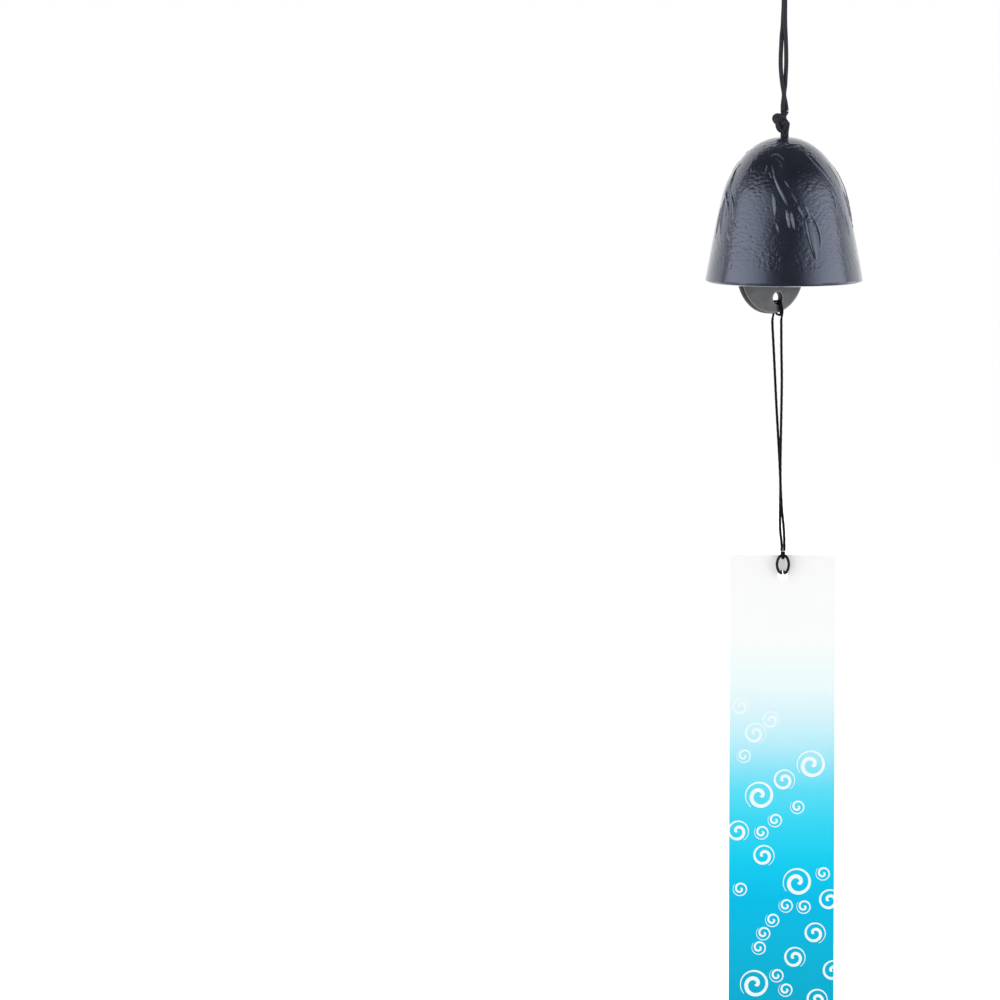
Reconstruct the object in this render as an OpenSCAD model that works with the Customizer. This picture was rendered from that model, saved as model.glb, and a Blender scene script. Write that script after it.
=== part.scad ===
// Cast iron wind chime: a small bell on a doubled braided cord, with an iron disc
// for a clapper and a long card strip that catches the wind.
// Millimetres. +Z is up, +X is to the right seen from the front, and the front faces -Y.
// The origin is the point where the hanging loop rests on a hook.

/* [Bell] */
// Diameter of the bell at its rim
bell_d = 70; // [60:1:84]
// Height of the bell from crown to rim
bell_h = 64.2; // [56:0.2:74]
// Diameter of the bell at its shoulder
shoulder_d = 52.4; // [46:0.2:58]
// Depth of the shoulder below the crown
shoulder_drop = 22; // [18:0.5:26]
// Thickness of the iron wall
wall = 3; // [2.4:0.1:4]
// Radius of the rounding on both edges of the rim
rim_round = 1; // [0.4:0.1:1.1]
// Diameter of the hole in the crown
crown_hole_d = 4.8; // [4.6:0.1:6]

/* [Hanging cord] */
// Thickness of one strand of the braided cord
cord_d = 1.8; // [1.5:0.1:1.8]
// Length from the hook down to the top of the knot on the crown
loop_drop = 80; // [60:1:100]
// Height of the knot that sits above the crown
knot_h = 9.6; // [8:0.2:12]
// Width of that knot
knot_w = 8; // [7:0.2:10]
// Gap between the knot and the crown
knot_gap = 1.6; // [1.4:0.1:3]
// Diameter of the knot inside the bell that carries it
stopper_d = 7.6; // [7:0.2:9]

/* [Clapper] */
// Diameter of the iron disc
clapper_d = 38; // [32:0.5:40]
// Thickness of the iron disc
clapper_t = 3; // [2:0.1:4]
// Diameter of each of the two holes in the disc
clapper_hole_d = 5.4; // [4:0.1:6]
// Distance from the disc's centre to the centre of each hole
clapper_hole_r = 12.6; // [11:0.1:13]
// Height of the disc's centre above the rim plane
clapper_rise = 5; // [2:0.5:8]
// Distance of the disc's centre to the left of the bell's axis
clapper_left = 6; // [2:0.5:7]
// Turn of the disc about the vertical
clapper_turn = 40; // [0:1:80]
// Roll of the disc in its own plane
clapper_roll = 13.8; // [0:0.2:20]
// Distance of the disc's centre in front of the bell's axis
clapper_front = 0.6; // [0:0.1:2]

/* [Threads] */
// Thickness of the thread that holds the disc and the strip
thread_d = 1; // [0.8:0.1:1.2]
// Diameter of the small knot from which the disc's thread hangs
line_knot_d = 3; // [2.4:0.1:3.4]
// Distance of that knot to the left of the bell's axis
line_left = 4.4; // [3:0.1:5]

/* [Wire ring] */
// Thickness of the ring's wire
wire_d = 1.25; // [1:0.05:1.3]
// Outer width of the ring
ring_w = 6.5; // [6:0.1:8]
// Outer height of the ring
ring_h = 9.6; // [9:0.1:12]
// Gap between the two ends of the wire where they enter the strip
ring_end_gap = 0.35; // [0.2:0.05:0.8]
// Length of each end behind the strip
ring_hook = 3.2; // [2.4:0.1:5]
// Outer diameter of the thread's hitch on the ring
hitch_d = 3.4; // [3.2:0.1:4]
// Width of the thread's hitch on the ring
hitch_w = 2.1; // [1.8:0.1:2.6]

/* [Strip] */
// Width of the card strip
strip_w = 47; // [36:1:60]
// Length of the card strip
strip_l = 225; // [160:1:260]
// Thickness of the card
strip_t = 0.35; // [0.3:0.05:0.6]
// Diameter of the punched hole
strip_hole_d = 4.6; // [4.4:0.1:6]
// Distance from the strip's top edge to the centre of the hole
strip_hole_drop = 9.1; // [8:0.1:12]
// Distance from the rim plane of the bell down to the centre of the hole
strip_hang = 130.9; // [110:0.1:150]

/* [Hidden] */

// Clearance between pieces that lie against each other
rest_gap = 0.3;
// Clearance between two strands of thread that run side by side
strand_gap = 0.1;
// One overrun for every cut
cut = 1;
// Smoothness of round pieces and of the bell's curved outline
$fn = 96;
outline_steps = 14;

// Heights, from the hook down
knot_top = -loop_drop;
knot_bottom = knot_top - knot_h;
crown_z = knot_bottom - knot_gap;
rim_z = crown_z - bell_h;
clapper_z = rim_z + clapper_rise;
strip_hole_z = rim_z - strip_hang;
strip_top = strip_hole_z + strip_hole_drop;

// The bell's outline is two smooth curves that meet at the shoulder.
// Shares of the shoulder and of the skirt that their handles take
crown_handle_share = 0.64;
shoulder_handle_share = 0.225;
skirt_handle_share = 0.127;
rim_handle_share = 0.163;
// Outward lean of the wall at the shoulder and at the rim, as width per depth
shoulder_lean = 0.394;
rim_lean = 0.16;
bell_r = bell_d / 2;
shoulder_r = shoulder_d / 2;
skirt_h = bell_h - shoulder_drop;
shoulder_handle = shoulder_handle_share * shoulder_drop;
skirt_handle = skirt_handle_share * skirt_h;
rim_handle = rim_handle_share * skirt_h;
dome = [
    [0, 0],
    [crown_handle_share * shoulder_r, 0],
    [shoulder_r - shoulder_lean * shoulder_handle, shoulder_drop - shoulder_handle],
    [shoulder_r, shoulder_drop]
];
skirt = [
    [shoulder_r, shoulder_drop],
    [shoulder_r + shoulder_lean * skirt_handle, shoulder_drop + skirt_handle],
    [bell_r - rim_lean * rim_handle, bell_h - rim_handle],
    [bell_r, bell_h]
];

function bezier(p, t) =
    pow(1 - t, 3) * p[0] + 3 * t * pow(1 - t, 2) * p[1]
    + 3 * t * t * (1 - t) * p[2] + pow(t, 3) * p[3];
function bezier_way(p, t) =
    3 * pow(1 - t, 2) * (p[1] - p[0]) + 6 * t * (1 - t) * (p[2] - p[1])
    + 3 * t * t * (p[3] - p[2]);
function unit(v) = v / norm(v);
// A point of the outline moved square to it towards the bell's inside
function inward(p, t, depth) =
    let (w = unit(bezier_way(p, t))) bezier(p, t) + depth * [-w.y, w.x];
function wall_line(depth) = concat(
    [for (i = [0:outline_steps - 1]) inward(dome, i / outline_steps, depth)],
    [for (i = [0:outline_steps]) inward(skirt, i / outline_steps, depth)]
);

// A tube swept along a route: round slices square to the route, each turned as little
// as possible from the one before it
function way_at(r, i) =
    unit((i < len(r) - 1 ? unit(r[i + 1] - r[i]) : [0, 0, 0])
    + (i > 0 ? unit(r[i] - r[i - 1]) : [0, 0, 0]));
function square_to(side, way) = unit(side - (side * way) * way);
function sides_of(r) = [
    for (
        i = 0, s = square_to([1, 0.3, 0.2], way_at(r, 0));
        i < len(r);
        i = i + 1, s = i < len(r) ? square_to(s, way_at(r, i)) : s
    ) s
];

module tube(route, d, sides = 8) {
    n = len(route);
    side = sides_of(route);
    points = [
        for (i = [0:n - 1], k = [0:sides - 1])
        let (a = 360 * k / sides, s = side[i], c = cross(way_at(route, i), s))
        route[i] + d / 2 * (cos(a) * s + sin(a) * c)
    ];
    walls = [
        for (i = [0:n - 2], k = [0:sides - 1])
        let (a = i * sides + k, b = i * sides + (k + 1) % sides)
        each [[a, a + sides, b + sides], [a, b + sides, b]]
    ];
    ends = [
        [for (k = [0:sides - 1]) k],
        [for (k = [sides - 1:-1:0]) (n - 1) * sides + k]
    ];
    polyhedron(points, concat(walls, ends));
}

// Route of the hanging loop: up the left strand, over the hook and down the right one.
// The strands twist round each other above the knot and open to their widest in the
// middle. Points chosen by hand along the middle of the braid.
loop_route = [
    [-0.9, -0.4, -79.7], [-0.8, -0.7, -76.5], [-0.4, -1, -72.5], [-1, -0.7, -68.5],
    [-1.5, -0.4, -64.5], [-1.8, 0, -60], [-1.8, 0.2, -55.5], [-1.6, 0.3, -51],
    [-1.4, 0.5, -46.5], [-1, 0.7, -42.5], [-0.8, 0.9, -38.5], [-0.6, 1, -34],
    [-0.5, 1.1, -29.5], [-0.4, 1.4, -25], [-0.3, 1.9, -20.5], [-0.2, 2.6, -16],
    [-0.1, 3.3, -11.5], [0, 3.8, -7.5], [0, 3.8, -4], [0, 3.2, -1.2],
    [0, 1.8, 0.4], [0, 0, 0.9], [0, -1.8, 0.4], [0, -3.2, -1.2],
    [0, -3.8, -4], [0, -3.8, -7.5], [0, -3.3, -11.5], [0, -2.6, -16],
    [0, -1.9, -20.5], [0, -1.4, -25], [0, -1.1, -29.5], [0, -1, -34],
    [0, -0.9, -38.5], [0.1, -0.8, -42.5], [0.3, -0.6, -46.5], [0.5, -0.5, -51],
    [0.6, -0.3, -55.5], [0.6, 0, -60], [0.4, 0.5, -64.5], [0.2, 0.7, -68.5],
    [-0.2, 1, -72.5], [0.5, 0.8, -76.5], [0.9, 0.4, -79.7]
];

// Routes of the tail thread's two strands, from the disc down to the hitch on the ring.
// The right strand leaves the disc's front and the left one its back. Heights are
// counted from tail_top_z, this far below the disc's lowest point.
tail_lead = 2.6;
tail_top_z = clapper_z - clapper_d / 2 - tail_lead;
tail_right = [
    [-1.1, 0.5, 0], [-1.1, 0.5, -3], [-1, 0.4, -14], [-0.8, 0.2, -26],
    [-0.9, 0, -38], [-1.1, -0.3, -50], [-1.3, -0.6, -64], [-1.2, -0.7, -74],
    [-0.6, -0.6, -84], [0.3, -0.4, -93], [0.6, 0, -100], [0.6, 0, -103.2]
];
tail_left = [
    [-4.9, 3.3, 0], [-4.9, 3.3, -3], [-4.3, 2.9, -14], [-3.7, 2.4, -26],
    [-3.1, 2, -38], [-2.4, 1.5, -50], [-1.6, 1, -64], [-1.2, 0.8, -74],
    [-1.3, 0.6, -84], [-1.3, 0.3, -93], [-0.6, 0, -100], [-0.6, 0, -103.2]
];

// The neck is the two strands of the hanging cord, side by side in the crown hole
neck_top = knot_bottom - rest_gap;
neck_end = crown_z - wall - rest_gap;

// The stopper knot is a ball with a flat top as wide as the crown hole, and a lobe on
// its left that carries the disc's thread
stopper_r = stopper_d / 2;
stopper_z = neck_end - sqrt(pow(stopper_r, 2) - pow(crown_hole_d / 2, 2));
lobe_share = 0.52;
lobe_r = lobe_share * stopper_r;
lobe_z = stopper_z - lobe_r;
line_knot_z = lobe_z - lobe_r - rest_gap - line_knot_d / 2;
line_top = [-line_left, 0, line_knot_z - line_knot_d / 2 - rest_gap];

// The disc stands on edge. Its own x runs to its right and away from the front, its own
// y through its thickness, away from the front, and its own z up.
clapper_at = [-clapper_left, -clapper_front, clapper_z];
lower_hole = clapper_hole_r * [sin(clapper_roll), 0, -cos(clapper_roll)];
upper_hole = -lower_hole;
function on_disc(p) = clapper_at + [
    cos(clapper_turn) * p.x - sin(clapper_turn) * p.y,
    sin(clapper_turn) * p.x + cos(clapper_turn) * p.y,
    p.z
];

// Distance of a thread's centre line from the disc's middle plane beside a face, and
// from a hole's centre where it bears on the hole's edge
thread_off = clapper_t / 2 + rest_gap + thread_d / 2;
thread_bear = clapper_hole_d / 2 - (rest_gap + thread_d) / 2;
// A thread turns a corner over this length
bend = thread_d;
// The way over a hole's edge from the disc's front to its back. Side is the place along
// the disc, foot the height of the threads' far ends and up the way that they leave.
function over_edge(side, bear, foot, up) = [
    [side, -thread_off, foot],
    [side, -thread_off, bear + up * bend],
    [side, -thread_off + bend / 4, bear + up * bend / 4],
    [side, -thread_off + bend, bear],
    [side, thread_off - bend, bear],
    [side, thread_off - bend / 4, bear + up * bend / 4],
    [side, thread_off, bear + up * bend],
    [side, thread_off, foot]
];

// The disc's thread is one loop through the upper hole, tied below the stopper knot
line_side = (thread_d + strand_gap) / 2;
line_foot = clapper_d / 2 - clapper_hole_r + thread_d;
line_route = concat(
    [line_top + [line_side, -line_side, 0], line_top + [line_side, -line_side, -bend]],
    [for (p = over_edge(0, thread_bear, line_foot, 1)) on_disc(upper_hole + p)],
    [line_top + [-line_side, line_side, -bend], line_top + [-line_side, line_side, 0]]
);

// The tail thread takes a round turn through the lower hole: up the disc's front, back
// through the hole, down and under the disc's edge, up the front beside the first
// strand, back through the hole again and down behind
turn_side = 0.9;
turn_half = (thread_d + strand_gap) / 2;
turn_bear = -sqrt(pow(thread_bear, 2) - pow(turn_side + turn_half, 2));
turn_slack = 0.8;
edge_z = -clapper_d / 2 + clapper_hole_r;
under_z = edge_z - turn_slack - thread_d / 2;
right_side = turn_side + turn_half;
left_side = turn_side - turn_half;
disc_edge = under_z + bend;
tail_foot = tail_top_z - clapper_z - lower_hole.z;
turn_route = [
    for (p = concat(
        [[right_side, -thread_off, tail_foot]],
        over_edge(right_side, turn_bear, disc_edge, -1),
        [
            [right_side, thread_off - bend / 2, under_z],
            [left_side, -thread_off + bend / 2, under_z]
        ],
        over_edge(left_side, turn_bear, disc_edge, -1),
        [[left_side, thread_off, tail_foot]]
    )) on_disc(lower_hole + p)
];

// The ring's wire is bent to an oval in front of the strip. Both ends run back through
// the strip's hole and turn up behind it.
wire_r = wire_d / 2;
ring_a = (ring_w - wire_d) / 2;
ring_b = (ring_h - wire_d) / 2;
end_x = (wire_d + ring_end_gap) / 2;
end_angle = asin(end_x / ring_a);
end_z = strip_hole_z + sqrt(pow(strip_hole_d / 2 - wire_r - rest_gap, 2) - pow(end_x, 2));
ring_z = end_z + ring_b * cos(end_angle);
ring_top_z = ring_z + ring_b;
strip_front = hitch_d / 2 + rest_gap;
hook_y = strip_front + strip_t + rest_gap + wire_r;
ring_steps = 28;
function oval(a) = [-ring_a * sin(a), 0, ring_z - ring_b * cos(a)];
ring_route = concat(
    [
        [-end_x, hook_y, end_z + ring_hook], [-end_x, hook_y, end_z + wire_r],
        [-end_x, hook_y - wire_r / 4, end_z + wire_r / 4], [-end_x, hook_y - wire_r, end_z],
        [-end_x, wire_r, end_z]
    ],
    [for (i = [0:ring_steps]) oval(end_angle + (360 - 2 * end_angle) * i / ring_steps)],
    [
        [end_x, wire_r, end_z], [end_x, hook_y - wire_r, end_z],
        [end_x, hook_y - wire_r / 4, end_z + wire_r / 4], [end_x, hook_y, end_z + wire_r],
        [end_x, hook_y, end_z + ring_hook]
    ]
);
// The hitch lies round the ring's top and clears the wire while the ring swings in it,
// so its bore allows for the wire's fall within the hitch
hitch_sag = ring_b * (1 - sqrt(1 - pow(hitch_w / 2 / ring_a, 2)));
hitch_bore = wire_d + hitch_sag + 2 * strand_gap;
hitch_z = ring_top_z - hitch_sag / 2;

// The cord's loop over the hook, down to the crown knot
module hanging_loop() {
    color("#14161d") tube(loop_route, cord_d);
}

// The knot above the crown: three lobes of cord, the largest to the upper left, with a
// collar where the strands enter and leave
knot_lobes = [
    [-0.3, -0.36, 0.34], [-0.1, -0.52, 0.3], [-0.17, -0.73, 0.28]
];
collar_share = 0.22;
module crown_knot() {
    collar = collar_share * knot_h;
    color("#14161d") translate([0, 0, knot_top]) {
        for (l = knot_lobes)
            translate([l[0] * knot_w, 0, l[1] * knot_h]) sphere(l[2] * knot_w);
        for (z = [-collar, -knot_h])
            translate([0, 0, z]) cylinder(h = collar, r = cord_d);
    }
}

module cord_neck() {
    color("#14161d") for (side = [-1, 1])
        translate([side * cord_d / 2, 0, neck_end]) {
            cylinder(h = neck_top - neck_end - cord_d / 2, d = cord_d);
            translate([0, 0, neck_top - neck_end - cord_d / 2]) sphere(d = cord_d);
        }
}

// Rounded corner of the rim, as points of an arc
arc_steps = 5;
function rim_corner(depth, from) =
    let (
        w = unit(bezier_way(skirt, 1)), q = [-w.y, w.x],
        centre = skirt[3] + depth * q - rim_round * w
    )
    [for (i = [0:arc_steps])
        let (a = from + 90 * i / arc_steps) centre + rim_round * (sin(a) * w - cos(a) * q)];

module bell() {
    outside = wall_line(0);
    inside = wall_line(wall);
    last = len(outside) - 2;
    outline = concat(
        [for (i = [0:last]) outside[i]],
        rim_corner(rim_round, 0),
        rim_corner(wall - rim_round, 90),
        [for (i = [last:-1:0]) inside[i]]
    );
    color("#23262f") difference() {
        translate([0, 0, crown_z]) rotate_extrude() polygon([for (p = outline) [p.x, -p.y]]);
        translate([0, 0, crown_z - wall - cut])
            cylinder(h = wall + 2 * cut, d = crown_hole_d);
    }
}

module stopper_knot() {
    color("#14161d") {
        difference() {
            translate([0, 0, stopper_z]) sphere(stopper_r);
            translate([0, 0, neck_end]) cylinder(h = stopper_r, r = stopper_r);
        }
        translate([-line_left, 0, lobe_z]) sphere(lobe_r);
    }
}

module line_knot() {
    color("#101114") translate([-line_left, 0, line_knot_z]) sphere(d = line_knot_d);
}

module clapper_line() {
    color("#101114") tube(line_route, thread_d);
}

module clapper() {
    color("#54565b") translate(clapper_at) rotate([0, 0, clapper_turn]) rotate([90, 0, 0])
        difference() {
            cylinder(h = clapper_t, d = clapper_d, center = true);
            for (p = [lower_hole, upper_hole])
                translate([p.x, p.z, 0])
                    cylinder(h = clapper_t + 2 * cut, d = clapper_hole_d, center = true);
        }
}

module tail_hitch() {
    color("#101114") tube(turn_route, thread_d);
}

module tail_line() {
    color("#101114") for (route = [tail_right, tail_left])
        tube([for (p = route) p + [0, 0, tail_top_z]], thread_d);
}

module ring_hitch() {
    color("#101114") translate([0, 0, hitch_z]) rotate([0, 90, 0]) difference() {
        cylinder(h = hitch_w, d = hitch_d, center = true);
        cylinder(h = hitch_w + 2 * cut, d = hitch_bore, center = true);
    }
}

module wire_ring() {
    color("#1b1c1e") tube(ring_route, wire_d, 12);
}

module strip() {
    color("#c9eef8") difference() {
        translate([-strip_w / 2, strip_front, strip_top - strip_l])
            cube([strip_w, strip_t, strip_l]);
        translate([0, strip_front - cut, strip_hole_z]) rotate([-90, 0, 0])
            cylinder(h = strip_t + 2 * cut, d = strip_hole_d);
    }
}

hanging_loop();
crown_knot();
cord_neck();
bell();
stopper_knot();
line_knot();
clapper_line();
clapper();
tail_hitch();
tail_line();
ring_hitch();
wire_ring();
strip();
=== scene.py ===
import math

import bmesh
import bpy
import numpy as np
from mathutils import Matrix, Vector, noise
from mathutils.geometry import delaunay_2d_cdt


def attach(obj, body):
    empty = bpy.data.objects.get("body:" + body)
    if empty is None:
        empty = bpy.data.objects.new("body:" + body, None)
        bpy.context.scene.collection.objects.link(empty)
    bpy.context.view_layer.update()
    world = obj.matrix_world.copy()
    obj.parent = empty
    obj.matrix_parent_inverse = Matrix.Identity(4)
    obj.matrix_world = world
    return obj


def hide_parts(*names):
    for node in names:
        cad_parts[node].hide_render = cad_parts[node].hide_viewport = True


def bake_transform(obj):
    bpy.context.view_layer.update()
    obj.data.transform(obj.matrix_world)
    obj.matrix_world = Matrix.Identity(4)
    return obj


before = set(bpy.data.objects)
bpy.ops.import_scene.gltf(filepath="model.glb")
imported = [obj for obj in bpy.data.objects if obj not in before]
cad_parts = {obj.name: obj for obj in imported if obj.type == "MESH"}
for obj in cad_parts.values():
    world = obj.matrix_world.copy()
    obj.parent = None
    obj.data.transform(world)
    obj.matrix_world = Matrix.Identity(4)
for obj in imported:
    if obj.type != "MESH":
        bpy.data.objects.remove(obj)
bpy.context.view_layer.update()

# A cast iron wind chime on its cord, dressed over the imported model. The script works in
# metres, and MM turns the sizes below, which are in millimetres, into metres.
MM = 0.001
scene = bpy.context.scene
scene.view_settings.view_transform = "Standard"
rng = np.random.default_rng(11)


# Camera
CAMERA_AT = (-125.8, -3000, 22)
CAMERA_PITCH = 5.227
LENS = 244.1
camera_data = bpy.data.cameras.new("camera")
camera_data.lens = LENS
camera_data.sensor_width = 36
camera_data.clip_start = 0.1
camera_data.clip_end = 50
camera = bpy.data.objects.new("camera", camera_data)
camera.location = Vector(CAMERA_AT) * MM
camera.rotation_euler = (math.radians(90 - CAMERA_PITCH), 0, 0)
scene.collection.objects.link(camera)
scene.camera = camera


# Helpers for curves and swept tubes
def unit(v):
    """Each row of v at length one."""
    return v / np.linalg.norm(v, axis=-1, keepdims=True)


def run_along(path):
    """How far along the path each of its points lies."""
    return np.concatenate([[0], np.cumsum(np.linalg.norm(np.diff(path, axis=0), axis=1))])


def resampled(line, step):
    """The line with a point about every step."""
    run = run_along(line)
    at = np.linspace(0, run[-1], max(2, int(round(run[-1] / step)) + 1))
    return np.stack([np.interp(at, run, line[:, k]) for k in range(line.shape[1])], axis=1)


def smooth_route(points, step):
    """A smooth curve through the points, in millimetres, with a point about every step."""
    p = np.asarray(points, float)
    p = np.vstack([2 * p[0] - p[1], p, 2 * p[-1] - p[-2]])
    fine = []
    for a, b, c, d in zip(p[:-3], p[1:-2], p[2:-1], p[3:]):
        for t in np.linspace(0, 1, 24, endpoint=False):
            fine.append(
                0.5 * (2 * b + (c - a) * t + (2 * a - 5 * b + 4 * c - d) * t**2
                       + (3 * b - a - 3 * c + d) * t**3)
            )
    return resampled(np.array(fine + [p[-2]]), step)


def frames_along(path, side=(1.0, 0.3, 0.2)):
    """Two directions square to the path at each point, turned as little as possible."""
    way = unit(np.gradient(path, axis=0))
    one = np.zeros_like(path)
    s = np.array(side)
    for i, w in enumerate(way):
        s = s - s.dot(w) * w
        s = s / np.linalg.norm(s)
        one[i] = s
    return one, np.cross(way, one)


def tube(path, radius, sides):
    """Vertices and faces of a closed tube. radius is a number or an array, one row a ring."""
    one, two = frames_along(path)
    a = np.linspace(0, 2 * math.pi, sides, endpoint=False)
    r = np.broadcast_to(np.asarray(radius, float), (len(path), sides))
    ring = np.cos(a)[None, :, None] * one[:, None, :] + np.sin(a)[None, :, None] * two[:, None, :]
    verts = (path[:, None, :] + r[:, :, None] * ring).reshape(-1, 3)
    faces = []
    n = len(path)
    for i in range(n - 1):
        for k in range(sides):
            m = (k + 1) % sides
            faces.append((i * sides + k, i * sides + m, (i + 1) * sides + m, (i + 1) * sides + k))
    faces.append(tuple(range(sides - 1, -1, -1)))
    faces.append(tuple((n - 1) * sides + k for k in range(sides)))
    return verts, faces


def joined(parts):
    """Several (vertices, faces), or (vertices, faces, groove), as one."""
    verts, faces, groove_shade, start = [], [], [], 0
    for v, f, *g in parts:
        verts.append(v)
        faces += [tuple(i + start for i in face) for face in f]
        groove_shade += g
        start += len(v)
    return (np.vstack(verts), faces, *([np.concatenate(groove_shade)] if groove_shade else []))


def painted(obj, attribute, values):
    """Gives a mesh one number at each vertex, for its material."""
    layer = obj.data.attributes.new(attribute, "FLOAT", "POINT")
    layer.data.foreach_set("value", values.astype(np.float32))


def piece(name, body, slot, material, verts, faces, groove_shade=None, stands_for=(), smooth=True):
    """A mesh piece from vertices in millimetres, riding on a body. A piece with None for its body
    rides on no body. The depth of each vertex of a cord between its strands, if given, is where
    its material paints shade."""
    mesh = bpy.data.meshes.new(name)
    mesh.from_pydata((np.asarray(verts) * MM).tolist(), [], faces)
    mesh.validate()
    made = bmesh.new()
    made.from_mesh(mesh)
    bmesh.ops.recalc_face_normals(made, faces=made.faces)
    made.to_mesh(mesh)
    made.free()
    mesh.polygons.foreach_set("use_smooth", [smooth] * len(mesh.polygons))
    mesh.update()
    obj = bpy.data.objects.new(name, mesh)
    scene.collection.objects.link(obj)
    obj.data.materials.append(material)
    if groove_shade is not None:
        painted(obj, "groove_shade", groove_shade)
    if body is not None:
        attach(obj, body)
    if stands_for:
        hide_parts(*stands_for)
    return obj


# Materials
def new_material(name):
    m = bpy.data.materials.new(name)
    m.use_nodes = True
    return m, m.node_tree.nodes, m.node_tree.links, m.node_tree.nodes["Principled BSDF"]


def set_inputs(node, values):
    for name, value in values.items():
        node.inputs[name].default_value = value


def noise_node(nodes, links, per_metre, detail, roughness=0.55):
    at = nodes.new("ShaderNodeTexCoord")
    n = nodes.new("ShaderNodeTexNoise")
    set_inputs(n, {"Scale": per_metre, "Detail": detail, "Roughness": roughness})
    links.new(at.outputs["Object"], n.inputs["Vector"])
    return n


def mapped(nodes, links, source, span=(0, 1), to=(0, 1)):
    """The source's span stretched over another one."""
    n = nodes.new("ShaderNodeMapRange")
    set_inputs(n, {"From Min": span[0], "From Max": span[1], "To Min": to[0], "To Max": to[1]})
    links.new(source, n.inputs["Value"])
    return n.outputs["Result"]


def two_values(nodes, links, operation, one, two):
    n = nodes.new("ShaderNodeMath")
    n.operation = operation
    links.new(one, n.inputs[0])
    links.new(two, n.inputs[1])
    return n.outputs[0]


def ramp(nodes, links, source, stops):
    r = nodes.new("ShaderNodeValToRGB")
    links.new(source, r.inputs["Fac"])
    for e, (at, colour) in zip(r.color_ramp.elements, stops):
        e.position, e.color = at, (*colour, 1)
    for at, colour in stops[2:]:
        e = r.color_ramp.elements.new(at)
        e.color = (*colour, 1)
    return r


def bump(nodes, links, bsdf, per_metre, detail, strength, distance_mm, roughness=0.55,
         under=None):
    """A fine skin from one noise, over another such skin or none."""
    n = noise_node(nodes, links, per_metre, detail, roughness)
    b = nodes.new("ShaderNodeBump")
    set_inputs(b, {"Strength": strength, "Distance": distance_mm * MM})
    links.new(n.outputs["Fac"], b.inputs["Height"])
    if under is not None:
        links.new(under.outputs["Normal"], b.inputs["Normal"])
    links.new(b.outputs["Normal"], bsdf.inputs["Normal"])
    return b


def mottled(nodes, links, bsdf, per_metre, dark, light, rough, detail=5):
    """Colour and roughness that vary together with one noise."""
    n = noise_node(nodes, links, per_metre, detail)
    colour = ramp(nodes, links, n.outputs["Fac"], [(0.3, dark), (0.7, light)])
    links.new(colour.outputs["Color"], bsdf.inputs["Base Color"])
    links.new(mapped(nodes, links, n.outputs["Fac"], to=rough), bsdf.inputs["Roughness"])


def over_base(nodes, links, bsdf, attribute, colour):
    """Mixes a colour over the base colour where a mesh attribute says so."""
    where = nodes.new("ShaderNodeAttribute")
    where.attribute_name = attribute
    mix = nodes.new("ShaderNodeMix")
    mix.data_type = "RGBA"
    links.new(where.outputs["Fac"], mix.inputs["Factor"])
    links.new(bsdf.inputs["Base Color"].links[0].from_socket, mix.inputs["A"])
    mix.inputs["B"].default_value = (*colour, 1)
    links.new(mix.outputs["Result"], bsdf.inputs["Base Color"])


def bell_material():
    """Dark navy lacquer over sand-cast iron, its relief crests painted lighter: partly lacquer
    worn thin, partly a painted highlight.
    """
    m, nodes, links, bsdf = new_material("lacquered_iron")
    mottled(nodes, links, bsdf, 90, (0.013, 0.017, 0.027), (0.023, 0.028, 0.041), (0.17, 0.27))
    # lighter colour on the relief crests: partly lacquer worn thin, partly a painted highlight
    over_base(nodes, links, bsdf, "worn", (0.167, 0.186, 0.225))
    set_inputs(bsdf, {
        "IOR": 1.6, "Specular IOR Level": 0.7, "Specular Tint": (0.53, 0.62, 1.0, 1),
        "Coat Weight": 1.0, "Coat Roughness": 0.2, "Coat IOR": 1.5,
    })
    pits = bump(nodes, links, bsdf, 1500, 3, 0.3, 0.1)
    skin = bump(nodes, links, bsdf, 4200, 2, 0.15, 0.03, under=pits)
    links.new(skin.outputs["Normal"], bsdf.inputs["Coat Normal"])
    return m


def disc_material():
    """Iron with its faces ground grey, a painted highlight along its edges, and a dark rim and
    hole walls that are partly cast skin and partly painted shade.
    """
    m, nodes, links, bsdf = new_material("grey_iron")
    mottled(nodes, links, bsdf, 140, (0.082, 0.086, 0.098), (0.152, 0.154, 0.164), (0.42, 0.6))
    # painted highlight along the edges of the faces and rims
    over_base(nodes, links, bsdf, "edge", (0.24, 0.245, 0.25))
    # dark rim and hole walls: partly cast skin, partly painted shade
    over_base(nodes, links, bsdf, "skin", (0.030, 0.033, 0.033))
    bsdf.inputs["Metallic"].default_value = 0.35
    bump(nodes, links, bsdf, 1100, 5, 0.3, 0.1)
    return m


def fibre_material(name, dark, light, sheen):
    """Cord or thread: fine fibres, dull, with a little sheen, and painted shade in the grooves
    between the strands.
    """
    m, nodes, links, bsdf = new_material(name)
    mottled(nodes, links, bsdf, 2600, dark, light, (0.62, 0.85))
    # painted shade in the grooves between the strands
    over_base(nodes, links, bsdf, "groove_shade", (0.001, 0.0011, 0.0015))
    set_inputs(bsdf, {
        "Specular IOR Level": 0.15, "Sheen Weight": sheen, "Sheen Roughness": 0.4,
    })
    bump(nodes, links, bsdf, 9000, 3, 0.5, 0.05, roughness=0.7)
    return m


def wire_material():
    m, nodes, links, bsdf = new_material("black_wire")
    mottled(nodes, links, bsdf, 600, (0.004, 0.004, 0.005), (0.012, 0.012, 0.013), (0.28, 0.42))
    bsdf.inputs["Specular IOR Level"].default_value = 0.3
    return m


CORD = fibre_material("braided_cord", (0.014, 0.015, 0.021), (0.058, 0.062, 0.077), 0.05)
THREAD = fibre_material("waxed_thread", (0.004, 0.004, 0.005), (0.014, 0.014, 0.017), 0.02)
IRON = bell_material()
DISC = disc_material()
WIRE = wire_material()


# Cords. Their routes are the model's own, point by point.
CORD_D = 1.8
THREAD_D = 1.0
TAIL_D = 1.18
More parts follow.
